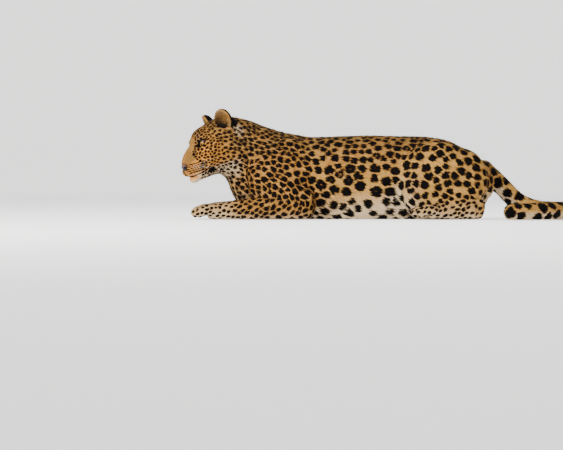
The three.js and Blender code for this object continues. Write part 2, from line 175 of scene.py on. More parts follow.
def limb(*stations):
    """Stations are (x, y, z, half width, half height up, half height down)."""
    table = np.array([(*s, s[4]) if len(s) == 5 else s for s in stations], float)
    fine = spline(table, np.linspace(0, len(table) - 1, (len(table) - 1) * LIMB_STEPS + 1))
    places, sizes = fine[:, :3], fine[:, 3:]
    reach = sizes.max(1)[:, None] + MARGIN
    low, high = (places - reach).min(0), (places + reach).max(0)
    last = len(places) - 2

    def field(p):
        out = np.full(len(p), FAR)
        near = ((p > low) & (p < high)).all(1)
        q = p[near]
        nearest = np.full(len(q), FAR)
        for i in range(last + 1):
            along = places[i + 1] - places[i]
            length = np.linalg.norm(along)
            along = along / length
            up = unit(UP - along * along[2])
            across = np.cross(up, along)
            caps = [0.12 * sizes[k, 0] + 2 for k in (i, i + 1)]
            if i == 0:
                caps[0] = 0.8 * min(sizes[0, :2])
            if i == last:
                caps[1] = 0.8 * min(sizes[-1, :2])
            w = (q - places[i]) @ along
            close = (w > -caps[0] - MARGIN) & (w < length + caps[1] + MARGIN)
            v, w = q[close] - places[i], w[close]
            t = np.clip(w / length, 0, 1)
            over = w - t * length
            height = v @ up
            size = sizes[i] * (1 - t[:, None]) + sizes[i + 1] * t[:, None]
            local = np.stack([v @ across, height, over], 1)
            half = np.stack([size[:, 0], np.where(height > 0, size[:, 1], size[:, 2]),
                             np.where(over < 0, caps[0], caps[1])], 1)
            nearest[close] = soft_min(nearest[close], ellipsoid(local, half), 5)
        out[near] = nearest
        return out

    return field


def blend(k, *fields):
    def field(p):
        out = fields[0](p)
        for f in fields[1:]:
            out = soft_min(out, f(p), k)
        return out

    return field


def pair(make):
    return [make(1), make(-1)]


def balls(x, y, z, *shape):
    """The same ball on the left and the right."""
    return [ball(x, y, z, *shape), ball(x, -y, z, *shape)]


def line_distance(p, points):
    """Distance from points to a polyline, and how far along it the nearest place is, from 0 to 1."""
    points = np.asarray(points, float)
    best, where = np.full(len(p), 1e6), np.zeros(len(p))
    for i in range(len(points) - 1):
        a, ab = points[i], points[i + 1] - points[i]
        t = np.clip((p - a) @ ab / (ab @ ab), 0, 1)
        d = norm(p - a - t[:, None] * ab)
        closer = d < best
        best[closer] = d[closer]
        where[closer] = ((i + t) / (len(points) - 1))[closer]
    return best, where


# Head frame: +X towards the nose, +Y to the animal's left, +Z to the crown.

def turn_about(axis, degrees):
    c, s = math.cos(math.radians(degrees)), math.sin(math.radians(degrees))
    i, j = [(1, 2), (2, 0), (0, 1)][axis]
    m = np.eye(3)
    m[i, i], m[i, j], m[j, i], m[j, j] = c, -s, s, c
    return m


HEAD_TURN = turn_about(2, 180 + HEAD_YAW) @ turn_about(1, HEAD_PITCH) @ turn_about(0, HEAD_ROLL)


def to_head(p):
    return (p - HEAD_AT) @ HEAD_TURN


def from_head(p):
    return p @ HEAD_TURN.T + HEAD_AT


def eye_at(y):
    return vec(32.0, y * 30.5, 15.5)


def head_masses():
    muzzle = blend(
        14,
        ball(-38, 0, 20, 76, 62, 56),
        ball(16, 0, 22, 46, 47, 45),
        ball(66, 0, -50, 42, 30, 30),
        limb((46, 0, 6, 28, 28, 30), (66, 0, -3, 25, 27, 30), (88, 0, -17, 22, 24, 26),
             (109, 0, -33, 17, 15, 20)),
        limb((-20, 0, -52, 50, 34, 36), (20, 0, -62, 42, 26, 29), (56, 0, -68, 30, 20, 24),
             (90, 0, -76, 22, 14, 16)),
        *balls(8, 42, -16, 50, 31, 44),
        *balls(-24, 42, -38, 44, 29, 44),
        *balls(42, 33, -6, 30, 20, 24),
        *pair(lambda y: limb((38, y * 30, -34, 24, 28, 28), (62, y * 25, -40, 22, 26, 26),
                             (86, y * 19, -46, 20, 22, 22))),
    )
    return blend(
        7,
        muzzle,
        *balls(39, 25, 35, 20, 17, 10.5, 22),
        *balls(88, 20, -47, 30, 26, 22, 12),
        *balls(-58, 46, 38, 24, 22, 26),
        ball(97, 0, -79, 14, 22, 15),
        *pair(lambda y: ball(*eye_at(y), *[EYE_RADIUS + LID_THICKNESS] * 3)),
    )


HEAD = head_masses()


def surface_point(x, z, direction):
    """Where the head's skin is, going out from the middle plane."""
    start = vec(x, 0.0, z)
    steps = np.arange(0, 140, 0.5)
    values = HEAD(start + steps[:, None] * direction)
    i = int(np.argmax(values > 0))
    return start + direction * (steps[i] - 0.5 * values[i] / (values[i] - values[i - 1]))


@cache
def mouth_line():
    """The line between the lips, from the animal's left corner round the front to the right one."""
    places = ((48, -65, 0), (58, -68, 0), (66, -70, 0), (75, -71, 0.1), (82, -71, 0.25), (86, -70.5, 0.6),
              (90, -70, 1))
    half = [surface_point(x, z, heading(forward, 1.0, 0)) for x, z, forward in places]
    front = surface_point(80, -67, FORWARD)
    return np.array(half + [front] + [h * [1, -1, 1] for h in reversed(half)])


@cache
def lip_split():
    """The groove from the nose down to the mouth."""
    return np.array([surface_point(80, z, FORWARD) for z in (-44, -50, -56, -62, -67)])


def eye_axes(y):
    """Out through the opening, along it towards the nose, and across it."""
    out = heading(0.8, y * 0.58, 0.12)
    corner = vec(0.5, -y * 0.72, -0.42)
    along = unit(corner - out * (corner @ out))
    return out, along, np.cross(out, along)


def almond(h, y):
    """Distance to the edge of the eye's opening in the plane that the lids face, negative inside."""
    out, along, across = eye_axes(y)
    q = h - eye_at(y)
    u, v = q @ along, q @ across
    d = np.maximum(np.hypot(u, v - LID_OFFSET), np.hypot(u, v + LID_OFFSET)) - LID_RADIUS
    return np.where(q @ out > 4, d, FAR)


def ear_axes(y):
    rise = heading(-0.04, y * 0.56, 0.83)
    facing = vec(0.93, y * 0.36, 0)
    facing = unit(facing - rise * (facing @ rise))
    return rise, facing, np.cross(rise, facing)


def ear_place(y):
    return vec(-45.0, y * 47, 44) + ear_axes(y)[0] * 24


def ear_parts(h, y):
    """The ear's outer egg and its hollow, and the point's height and depth in the ear."""
    rise, facing, across = ear_axes(y)
    q = h - ear_place(y)
    a, b, c = q @ facing, q @ across, q @ rise
    outer = ellipsoid(np.stack([a, b, c], 1), vec(EAR_DEPTH, EAR_WIDTH, EAR_HEIGHT))
    inner = vec(EAR_DEPTH * 1.45 - EAR_WALL, EAR_WIDTH - EAR_WALL, EAR_HEIGHT - EAR_WALL)
    hollow = ellipsoid(np.stack([a - EAR_DEPTH * 0.45, b, c - 2], 1), inner)
    return outer, hollow, a, c


# Body.

TRUNK = limb(
    (468, 0, 146, 70, 42, 84), (430, 0, 138, 94, 84, 118), (370, 0, 132, 106, 119, 136),
    (290, 0, 130, 108, 135, 150), (200, 0, 128, 110, 139, 158), (100, 0, 128, 118, 141, 162),
    (0, 0, 128, 119, 138, 160), (-90, 0, 130, 110, 134, 155), (-170, 0, 135, 98, 132, 150),
    (-235, 0, 128, 86, 108, 124), (-284, 0, 114, 68, 70, 84),
)
NECK = limb(
    (-140, 0, 160, 90, 104, 104), (-205, -2, 184, 86, 101, 110), (-262, -9, 206, 81, 99, 116),
    (-312, -20, 228, 76, 97, 104), (-352, -32, 242, 71, 88, 86),
)
TAIL_STATIONS = (
    (474, 0, 158, 34, 33), (530, 4, 108, 31, 31), (585, 10, 56, 30, 30), (650, 4, 31, 29, 29, 31),
    (702, -44, 29, 28, 28, 30), (722, -115, 29, 28, 28, 30), (706, -190, 29, 28, 28, 30),
    (662, -250, 29, 28, 28, 30), (602, -290, 28, 27, 27, 29), (536, -312, 27, 25, 25, 28),
)
TAIL = limb(*TAIL_STATIONS)


def shoulder(s):
    return blend(
        26,
        limb((-128, s * 60, 222, 27, 40, 40), (-180, s * 74, 178, 34, 56, 52),
             (-232, s * 86, 124, 38, 56, 54)),
        limb((-238, s * 90, 112, 38, 54, 60), (-165, s * 106, 88, 40, 64, 66),
             (-100, s * 118, 58, 36, 44, 50)),
        ball(-150, s * 96, 130, 72, 36, 74),
    )


def forearm(s):
    return limb((-92, s * 118, 42, 34, 38, 46), (-165, s * 116, 44, 34, 38, 48),
                (-240, s * 112, 40, 30, 34, 44), (-314, s * 108, 34, 27, 30, 38))


def thigh(s):
    return blend(24, ball(322, s * 90, 148, 114, 60, 100), ball(400, s * 72, 134, 84, 62, 94, -12),
                 ball(272, s * 112, 84, 64, 48, 66), ball(380, s * 96, 84, 80, 46, 60))


def shank(s):
    return limb((282, s * 116, 56, 38, 34, 60), (340, s * 122, 50, 34, 32, 54),
                (400, s * 124, 44, 29, 30, 46), (452, s * 124, 38, 24, 30, 40))


def paw(wrist, knuckles, width):
    """A foot of four toes, the middle two longer, from its wrist or hock to the toes' tips."""
    wrist, knuckles = np.array(wrist, float), np.array(knuckles, float)
    forward = unit((knuckles - wrist) * [1, 1, 0])
    across = np.array([-forward[1], forward[0], 0])

    def at(along, sideways, z):
        x, y, _ = knuckles + forward * along + across * sideways
        return x, y, z

    half = np.linalg.norm(knuckles - wrist) / 2
    middle = limb((*wrist, 27, 28, 38), (*at(-half, 0, 33), width * 0.84, 25, 38),
                  (*at(0, 0, 30), width, 24, 34))
    toes = []
    for place in (-1.5, -0.5, 0.5, 1.5):
        long, sideways = (14 if abs(place) < 1 else 0), place * TOE_SPREAD
        toes.append(limb(
            (*at(-14, sideways * 0.85, 32), TOE_RADIUS, TOE_RADIUS + 3),
            (*at(16 + long, sideways, 32), TOE_RADIUS, TOE_RADIUS + 3),
            (*at(40 + long, sideways * 1.06, 20), TOE_RADIUS - 1, TOE_RADIUS + 1),
        ))
    return blend(4, middle, *toes)


BODY_SIDES = (-1, 1)
SHOULDERS = [shoulder(s) for s in BODY_SIDES]
FOREARMS = [forearm(s) for s in BODY_SIDES]
FOREPAWS = [paw((-316, s * 108, 33), (-392, s * 108, 28), 37) for s in BODY_SIDES]
THIGHS = [thigh(s) for s in BODY_SIDES]
SHANKS = [shank(s) for s in BODY_SIDES]
HINDFEET = [paw((430, s * 134, 36), (302, s * 140, 30), 36) for s in BODY_SIDES]


def coat_depth(p, h):
    """How far the skin lies under the tips of the coat."""
    near_floor = smooth(60, 10, np.abs(p[:, 2] - 20)) * (p[:, 2] < 70)
    near_head = 1 - smooth(60, 150, norm(h - [20, 0, 0]))
    depth = (BODY_COAT - 2.2 * near_floor) * (1 - near_head) + HEAD_COAT * near_head
    for y in (1, -1):
        depth *= 0.1 + 0.9 * smooth(17, 38, norm(h - eye_at(y)))
        depth *= 0.15 + 0.85 * smooth(30, 48, norm(h - ear_place(y)))
    depth *= 0.25 + 0.75 * smooth(25, 70, norm(h - MUZZLE_TIP))
    return depth


def flesh(p):
    """The whole skin without eyes and nose, open at the lids and mouth and cut level with the floor."""
    h = to_head(p)
    near = (np.abs(h) < 190).all(1)
    head = np.full(len(p), FAR)
    head[near] = HEAD(h[near])
    d = soft_min(soft_min(TRUNK(p), NECK(p), 22), head, 22)
    legs = soft_min(blend(14, *FOREARMS)(p), blend(6, *FOREPAWS)(p), 6)
    legs = soft_min(blend(14, *SHOULDERS)(p), legs, 8)
    d = soft_min(d, legs, 26)
    hind = soft_min(blend(14, *SHANKS)(p), blend(6, *HINDFEET)(p), 5)
    d = soft_min(d, soft_min(blend(14, *THIGHS)(p), hind, 6), 18)
    d = soft_min(d, TAIL(p), 16)
    q = h[near]
    detail = d[near] + coat_depth(p[near], q)
    for y in (1, -1):
        outer, hollow, _, _ = ear_parts(q, y)
        detail = soft_min(detail, soft_max(outer, -hollow, 3), 7)
    for y in (1, -1):
        detail = soft_max(detail, EYE_RADIUS + 0.3 - norm(q - eye_at(y)), 1)
        detail = soft_max(detail, -almond(q, y), 2)
    groove, _ = line_distance(q, mouth_line())
    split, _ = line_distance(q, lip_split())
    detail = soft_max(detail, 2.6 - groove, 3)
    detail = soft_max(detail, 1.9 - split, 3)
    detail = np.maximum(detail, -ellipsoid(q - NOSE_AT, NOSE_SIZE + NOSE_GAP))
    d += coat_depth(p, h)
    d[near] = detail
    return soft_max(d, 0.8 - p[:, 2], 5)


def axis_of(*spans):
    """Grid places along one axis, from spans of (start, end, step)."""
    parts = [np.linspace(a, b, int(round((b - a) / step)), endpoint=False) for a, b, step in spans]
    return np.concatenate([*parts, [spans[-1][1]]])


def spread(coarse, axes, fine_axes):
    """Coarse values brought to a finer grid, straight between the coarse places."""
    for k, (axis, fine) in enumerate(zip(axes, fine_axes)):
        i = np.clip(np.searchsorted(axis, fine) - 1, 0, len(axis) - 2)
        w = ((fine - axis[i]) / (axis[i + 1] - axis[i])).astype(np.float32)
        shape = [1, 1, 1]
        shape[k] = len(fine)
        w = w.reshape(shape)
        coarse = np.take(coarse, i, k) * (1 - w) + np.take(coarse, i + 1, k) * w
    return coarse


def points_of(axes, mask=None):
    if mask is None:
        return np.stack(np.meshgrid(*axes, indexing="ij"), -1).reshape(-1, 3)
    i, j, k = np.nonzero(mask)
    return np.stack([axes[0][i], axes[1][j], axes[2][k]], 1)


def surface(field, axes, coarse=False):
    """Points and quads of the field's skin, with the quads facing out.

    A coarse first pass finds the band round the skin, so that only that band is worked out in full.
    """
    if coarse:
        coarse_axes = [np.linspace(a[0], a[-1], int((a[-1] - a[0]) / COARSE_STEP) + 2) for a in axes]
        rough = field(points_of(coarse_axes)).astype(np.float32).reshape([len(a) for a in coarse_axes])
        values = spread(rough, coarse_axes, axes)
        mask = np.abs(values) < COARSE_BAND
        values[mask] = field(points_of(axes, mask))
    else:
        values = field(points_of(axes)).reshape([len(a) for a in axes])
    grid = openvdb.FloatGrid(FAR)
    grid.copyFromArray(np.ascontiguousarray(values, np.float32))
    points, quads = grid.convertToQuads(0)
    places = np.stack([np.interp(points[:, k], np.arange(len(a)), a) for k, a in enumerate(axes)], 1)
    quads = quads.astype(np.int64)
    a, b, c = (places[quads[:, k]] for k in range(3))
    if np.einsum("ij,ij->i", a, np.cross(b, c)).sum() < 0:
        quads = quads[:, ::-1]
    return places, quads


def face_frames(points, quads):
    """Middles of the quads, and normals as long as the quads' areas."""
    a, b, c, d = (points[quads[:, k]] for k in range(4))
    normal = np.cross(c - a, d - b)
    return (a + b + c + d) / 4, normal / 2


def point_normals(points, quads):
    _, area = face_frames(points, quads)
    total = np.zeros_like(points)
    for k in range(4):
        for j in range(3):
            total[:, j] += np.bincount(quads[:, k], area[:, j], len(points))
    return unit(total)


def lie_of(p, n):
    """The way the coat lies along the skin at each point, and how much each part of the body counts there."""
    h = to_head(p)
    head_way = np.stack([np.full(len(p), -1.0), 0.5 * np.tanh(h[:, 1] / 30), np.full(len(p), 0.12)], 1)
    places = np.array([s[:3] for s in TAIL_STATIONS], float)
    _, where = line_distance(p, places)
    last = len(places) - 1
    after, before = (spline(places, np.clip(where * last + step, 0, last)) for step in (0.3, -0.3))
    ways = (
        (TRUNK, (1, 0, -0.3)), (NECK, (1, 0.15, -0.35)),
        (None, head_way @ HEAD_TURN.T), (TAIL, after - before),
        (blend(2, *SHOULDERS), (0.9, 0, -0.5)), (blend(2, *FOREARMS), (-1, 0, -0.25)),
        (blend(2, *FOREPAWS), (-1, 0, -0.35)), (blend(2, *THIGHS), (0.9, 0, -0.45)),
        (blend(2, *SHANKS), (1, 0, -0.1)), (blend(2, *HINDFEET), (-1, 0, -0.25)),
    )
    distances = np.stack([HEAD(h) if f is None else f(p) for f, _ in ways])
    weights = np.exp(-(distances - distances.min(0)) / 9)
    weights /= weights.sum(0)
    total = np.zeros_like(p)
    for w, (_, way) in zip(weights, ways):
        total += w[:, None] * unit(np.broadcast_to(np.asarray(way, float), p.shape))
    total -= n * (total * n).sum(1)[:, None]
    return unit(total), weights


# Markings. Weights and values go by part: trunk, neck, head, tail, shoulders, forearms, forepaws, thighs,
# shanks, hindfeet.

def share_out(weights, *values):
    """A value at each point, from one value for each part and how much each part counts there."""
    return sum(w * v for w, v in zip(weights, values))


def spot_sizes(p, h, weights):
    """At each point: the gap between spots, their half length and slimness, and how far they open into rings.

    The trunk counts as two parts here, the flanks with big spots and the rest with small ones.
    """
    trunk, _, head, tail, _, _, _, thighs, _, _ = weights
    high = p[:, 2]
    flank = smooth(-150, -40, p[:, 0]) * (1 - smooth(246, 264, high))
    low = smooth(120, 60, high)
    face = smooth(-70, 10, h[:, 0])
    upper = smooth(110, 215, high)
    big = trunk * flank
    shares = (big, trunk * (1 - flank), *weights[1:])
    gap = share_out(shares, 31.5 - 10 * upper, 17, 13.5, 12.5 - 3.9 * face, 30, 19, 14, 12, 26, 15, 12)
    half = share_out(shares, 15 - 4.4 * upper, 9.6, 6.6, 6.2 - 1.5 * face, 16, 10.8, 7.4, 5.2, 14, 7.4, 5.4)
    slim = share_out(shares, 0.86, 0.76, 0.8, 0.84, 0.9, 0.78, 0.7, 0.7, 0.84, 0.72, 0.7)
    ring = big * (0.56 - 0.2 * low - 0.1 * upper) + thighs * 0.36 + tail * 0.3
    return gap, half * (1.27 - 0.05 * head * face), slim, ring


def scatter(p, n, gap, bare, rng):
    """Points of the skin picked so that none is nearer to another than the gap there."""
    left = rng.permutation(np.nonzero(~bare)[0])
    picked = []
    while len(left):
        i = left[0]
        picked.append(i)
        reach = gap[i] * rng.uniform(0.88, 1.06)
        apart = ((p[left] - p[i]) ** 2).sum(1) > reach * reach
        keep = apart | (n[left] @ n[i] < 0)
        keep[0] = False
        left = left[keep]
    return np.array(picked)


def blobs_of(p, lie, n, picked, sizes, rng):
    """Each spot as one blob, or a ring of three or four that partly run together, with the gap it keeps."""
    gap, half, slim, ring = sizes
    spots = []
    for i in picked:
        ahead, up = lie[i], n[i]
        across = np.cross(up, ahead)
        size = half[i] * rng.uniform(0.84, 1.14)
        narrow = slim[i] * rng.uniform(0.88, 1.1)
        clear = 0.055 * gap[i] + 0.4
        if ring[i] < 0.18 or size < 8.5:
            spots.append((clear, [(p[i], ahead, up, size, size * narrow, rng.uniform(0, 6.3))]))
            continue
        count, turn = rng.integers(3, 5), rng.uniform(0, 6.3)
        reach = size * ring[i] * rng.uniform(0.85, 1.2)
        blobs = []
        for k in range(count):
            a = turn + 2 * math.pi * k / count + rng.uniform(-0.3, 0.3)
            way = ahead * math.cos(a) + across * narrow * math.sin(a)
            beside = -ahead * math.sin(a) + across * math.cos(a)
            part = size * (0.56 - 0.14 * ring[i]) * rng.uniform(0.85, 1.2)
            blobs.append((p[i] + way * reach, beside, up, part * 1.22, part * 0.92, rng.uniform(0, 6.3)))
        spots.append((clear, blobs))
    return spots


def dark_distance(p, n, spots):
    """Distance to the nearest spot's edge, negative inside, with a light line between spots."""
    order = np.argsort(p[:, 0])
    ps, ns = p[order], n[order]
    xs = np.ascontiguousarray(ps[:, 0])
    best, second, margin = np.full(len(p), 12.0), np.full(len(p), 30.0), np.ones(len(p))
    for clear, blobs in spots:
        places = np.array([blob[0] for blob in blobs])
        middle, up = places.mean(0), blobs[0][2]
        reach = max(blob[3] for blob in blobs) + np.abs(places - middle).max() + 9
        i, j = np.searchsorted(xs, (middle[0] - reach, middle[0] + reach))
        q = ps[i:j] - middle
        near = (np.abs(q[:, 1]) < reach) & (np.abs(q[:, 2]) < reach) & (ns[i:j] @ up > 0.1)
        k = i + np.nonzero(near)[0]
        here = np.full(len(k), 20.0)
        for centre, ahead, _, long, wide, phase in blobs:
            q = ps[k] - centre
            u, v = q @ ahead, q @ np.cross(up, ahead)
            angle = np.arctan2(v / wide, u / long)
            edge = 1 + 0.11 * np.sin(2 * angle + phase) + 0.08 * np.sin(3 * angle + 2 * phase)
            here = soft_min(here, (np.hypot(u / long, v / wide) / edge - 1) * math.sqrt(long * wide), 2.5)
        closer = here < best[k]
        second[k] = np.minimum(np.maximum(best[k], here), second[k])
        best[k] = np.minimum(best[k], here)
        margin[k[closer]] = clear
    result = np.empty(len(p))
    result[order] = np.maximum(best, (best - second) * 0.5 + margin)
    return result


def near_point(h, place, stretch, radius):
    """1 at a place, fading to 0 at the radius."""
    return smooth(radius, radius * 0.3, norm((h - place) * stretch))


def whisker_row(h, k):
    """Distance to one of the dark rows that whiskers grow from, on the muzzle's sides."""
    level = -34 - 6.4 * k + 0.1 * (h[:, 0] - 90)
    ends = smooth(50, 60, h[:, 0]) * smooth(5, 9, np.abs(h[:, 1]))
    return np.abs(h[:, 2] - level) + 12 * (1 - ends)


def face_marks(h, n, dark):
    """Black lids, tear lines, lips and whisker rows, and the pale patches of the face."""
    pale = np.zeros(len(h))
    for y in (1, -1):
        dark = np.minimum(dark, almond(h, y) - 5)
        out, along, _ = eye_axes(y)
        corner = eye_at(y) + along * 14 + out * 9
        course = [corner, corner + [9, -y * 3, -8], [68, y * 21, -14], [84, y * 18, -25]]
        tear, where = line_distance(h, course)
        dark = np.minimum(dark, tear - 7.5 * (1 - where) ** 0.8)
        corner = eye_at(y) - along * 14 + out * 6
        tail, where = line_distance(h, [corner, corner + [-11, y * 4, 0]])
        dark = np.minimum(dark, tail - 3.4 * (1 - where))
        place = eye_at(y) + out * 8
        below = 0.7 * near_point(h, place + [4, y * 4, -19], [1, 0.7, 1.4], 13)
        above = 0.3 * near_point(h, place + [10, -y * 2, 15], [1, 0.8, 1.5], 14)
        pale = np.maximum(pale, np.maximum(below, above))
        patch, where = line_distance(h, [[42, y * 38, -74], [58, y * 36, -79], [76, y * 29, -82]])
        dark = np.minimum(dark, patch - (12 - 5 * where))
    for k in range(5):
        dash = 1.9 + 0.7 * np.sin(h[:, 0] * 0.8 + k * 1.7)
        dark = np.minimum(dark, whisker_row(h, k) - dash)
    pale = np.maximum(pale, 0.12 * smooth(58, 76, h[:, 0]) * smooth(-28, -42, h[:, 2]))
    lower = smooth(0.1, -0.6, n[:, 2])
    pale = np.maximum(pale, 0.3 * smooth(40, 70, h[:, 0]) * smooth(-68, -78, h[:, 2]))
    pale = np.maximum(pale, 0.8 * lower * smooth(-50, -80, h[:, 2]) * smooth(-90, -40, h[:, 0]))
    lips, where = line_distance(h, mouth_line())
    dark = np.minimum(dark, lips - (3.4 + 2 * smooth(0.35, 0.1, np.minimum(where, 1 - where))))
    split, _ = line_distance(h, lip_split())
    return np.minimum(dark, split - 1.6), pale


def ear_marks(h, dark, pale):
    """Black backs with a pale spot, hollows given painted shade towards the bottom, and the fur round the
    roots.
    """
    for y in (1, -1):
        outer, hollow, front, height = ear_parts(h, y)
        on_ear = (outer < 7) & (height > -24)
        inside = on_ear & (hollow < 2) & (height < 34)
        across = (h - ear_place(y)) @ ear_axes(y)[2]
        behind = on_ear & ~inside & (front < 1.5)
        dark = np.where(behind, np.minimum(9 - np.hypot(height - 12, across), 4), dark)
        # Painted shade: the hollow is blackened a little, more towards its bottom.
        dark = np.where(inside, 0.3 + 0.1 * (height + 4), dark)
        dark = np.where(on_ear & ~inside & ~behind, 6, dark)
        back_root = norm((h - ear_place(y) + [24, y * 2, 20]) * [1, 1, 0.75])
        dark = np.where(on_ear, dark, np.minimum(dark, 0.45 * (back_root - 17)))
        root = norm((h - ear_place(y) + [26, -y * 8, 48]) * [1, 1, 0.6])
        pale = np.maximum(pale, 0.6 * smooth(26, 8, root))
    return dark, pale


def cup_shade(h):
    """How deep in an ear's hollow each point is, for the painted shade that darkens the hollow."""
    shade = np.zeros(len(h))
    for y in (1, -1):
        outer, hollow, _, height = ear_parts(h, y)
        inside = (outer < 7) & (hollow < 2)
        shade = np.maximum(shade, inside * (1.45 + 0.55 * smooth(24, -10, height)))
    return shade


def bare_of_spots(h):
    """True where no spot is placed: the muzzle, the lids and the ears."""
    bare = (h[:, 0] > 78) | ((h[:, 0] > 52) & (h[:, 2] > -30) & (np.abs(h[:, 1]) < 22))
    bare &= (np.abs(h) < 135).all(1)
    for y in (1, -1):
        outer, _, _, height = ear_parts(h, y)
        bare |= ((almond(h, y) < 7) & (h[:, 0] > 20)) | ((outer < 6) & (height > -20))
    return bare


def ring_centres(p, n, picked, sizes):
    """Where the coat is browner inside the rings."""
    return [(p[i], n[i]) for i in picked[sizes[3][picked] > 0.4]]


def paint(p, n, weights, blobs, centres):
    """What the coat's colour is made from, at any points on the skin."""
    h = to_head(p)
    trunk, neck, head, tail, shoulders, forearms, forepaws, thighs, shanks, hindfeet = weights
    dark = dark_distance(p, n, blobs)
    centre = np.zeros(len(p))
    order = np.argsort(p[:, 0])
    xs = np.ascontiguousarray(p[order, 0])
    for place, up in centres:
        i, j = np.searchsorted(xs, (place[0] - 14, place[0] + 14))
        near = order[i:j]
        glow = smooth(14, 6, norm(p[near] - place)) * (n[near] @ up > 0)
        centre[near] = np.maximum(centre[near], glow)
    face = np.nonzero((np.abs(h) < 150).all(1))[0]
    pale = np.zeros(len(p))
    dark[face], pale[face] = ear_marks(h[face], *face_marks(h[face], n[face] @ HEAD_TURN, dark[face]))
    under = smooth(0.0, -0.8, n[:, 2])
    rear = smooth(-60, 160, p[:, 0])
    low = smooth(120, 0, p[:, 2]) * trunk * (0.25 + 0.6 * rear) + smooth(90, 0, p[:, 2]) * 0.35 * thighs
    fold = smooth(80, 15, np.abs(p[:, 0] - 212 - 0.3 * (p[:, 2] - 60)))
    groin = fold * smooth(190, 60, p[:, 2]) * (trunk + 0.5 * thighs)
    inner = (forearms + shanks) * smooth(4, -20, np.abs(p[:, 1]) - 100)
    white = low + 0.5 * under * (1 - head) + 0.75 * groin + 0.5 * inner + 0.42 * (forepaws + hindfeet)
    white = np.maximum(white, 0.8 * tail * smooth(0.3, -0.5, n[:, 2]))
    back = smooth(130, 270, p[:, 2])
    return {
        "dark": dark, "centre": centre, "white": np.clip(np.maximum(white, pale), 0, 1),
        "warm": np.clip(head + 0.8 * neck + 0.7 * shoulders + 0.7 * forearms + 0.1 * back, 0, 1),
        # Darker coat up top; partly painted shade on the forearms, and painted shade in the ear hollows.
        "darker_coat_and_shade": np.clip(0.9 * back * (trunk + neck) + 0.6 * neck + 0.55 * shoulders + 0.8 * forearms
                        + bridge(h) * head + cup_shade(h), 0, 2),
    }


def bridge(h):
    """The dusty upper side of the nose and the forehead."""
    ahead = smooth(42, 62, h[:, 0]) * smooth(-38, -24, h[:, 2]) * smooth(44, 24, np.abs(h[:, 1]))
    return np.maximum(1.1 * ahead, 0.85 * smooth(20, 50, h[:, 2]))


@cache
def skin():
    """The skin's points, quads and normals, the lie of its coat, its spots and its colour's marks."""
    settings = bpy.context.scene.leopard
    p, quads = surface(flesh, [axis_of(*spans) for spans in SKIN_GRID], coarse=True)
    n = point_normals(p, quads)
    lie, weights = lie_of(p, n)
    rng = np.random.default_rng(settings.seed)
    h = to_head(p)
    sizes = spot_sizes(p, h, weights)
    picked = scatter(p, n, sizes[0] / settings.spot_density, bare_of_spots(h), rng)
    blobs = blobs_of(p, lie, n, picked, sizes, rng)
    centres = ring_centres(p, n, picked, sizes)
    return {
        "p": p, "quads": quads, "n": n, "h": h, "lie": lie, "weights": weights,
        "blobs": blobs, "centres": centres, **paint(p, n, weights, blobs, centres),
    }


MARKS = ("dark", "centre", "white", "warm", "darker_coat_and_shade")


# Flat places for OFBake: each part of the body is seen from six sides, and the views are laid side by side.

SHEET = 2400.0
FIRST_AXIS, SECOND_AXIS = vec(1, 1, 0, 0, 0, 0), vec(2, 2, 2, 2, 1, 1)


@cache
def flat_places():
    """The OFBake place of every corner of the skin's quads. The four corners of a quad share one view."""
    data = skin()
    quads, p = data["quads"], data["p"]
    middle, normal = face_frames(p, quads)
    rows = np.arange(len(quads))
    axis = np.argmax(np.abs(normal), 1)
    view = axis * 2 + (normal[rows, axis] > 0)
    part = np.argmax(data["weights"], 0)[quads[:, 0]] * 2 + (middle[:, 1] > 0)
    ids, index = np.unique(part * 6 + view, return_inverse=True)
    first, second = FIRST_AXIS[view], SECOND_AXIS[view]
    corners = p[quads]
    flat = np.stack([corners[rows, :, first], corners[rows, :, second]], 2)
    lows = np.array([flat[index == c].min((0, 1)) - 3 for c in range(len(ids))])
    sizes = np.array([flat[index == c].max((0, 1)) + 3 for c in range(len(ids))]) - lows
    place = np.zeros_like(sizes)
    x = y = tallest = 0.0
    for c in np.argsort(-sizes[:, 1]):
        if x + sizes[c, 0] > SHEET:
            x, y, tallest = 0.0, y + tallest, 0.0
        place[c] = x, y
        x += sizes[c, 0]
        tallest = max(tallest, sizes[c, 1])
    return (flat + (place - lows)[index][:, None]) / max(SHEET, y + tallest)


# Tufts.

def tuft_sizes(data):
    """Length and width of the tufts at each point, in millimetres, and how thickly they stand."""
    h, weights = data["h"], data["weights"]
    forward = smooth(-40, 60, h[:, 0])
    low = smooth(110, 40, data["p"][:, 2])
    on_head = 9.5 - 4.5 * forward - 1.6 * smooth(62, 88, h[:, 0])
    length = share_out(weights, 14 + 7 * low, 13, on_head, 14, 12, 9, 5.5, 14, 9, 5.5)
    width = share_out(weights, 2.3, 2, 1.6 - 0.6 * forward, 2.4, 2.1, 1.7, 1.3, 2.3, 1.7, 1.3)
    bare = (data["p"][:, 2] < 4) | (norm(h - [118, 0, -36]) < 15)
    lips, _ = line_distance(h, mouth_line())
    bare |= lips < 2.5
    for y in (1, -1):
        outer, hollow, front, height = ear_parts(h, y)
        bare |= (almond(h, y) < 2.4) & (h[:, 0] > 20)
        ear = (outer < 6) & (height > -20)
        rim = ear & (np.abs(hollow) < 5) & (front > 4)
        length = np.where(ear, 4.5, length)
        length = np.where(rim, 8.5, length)
        width = np.where(ear, 1.0, width)
    return length, width, np.where(bare, 0, 1 / (length * width))


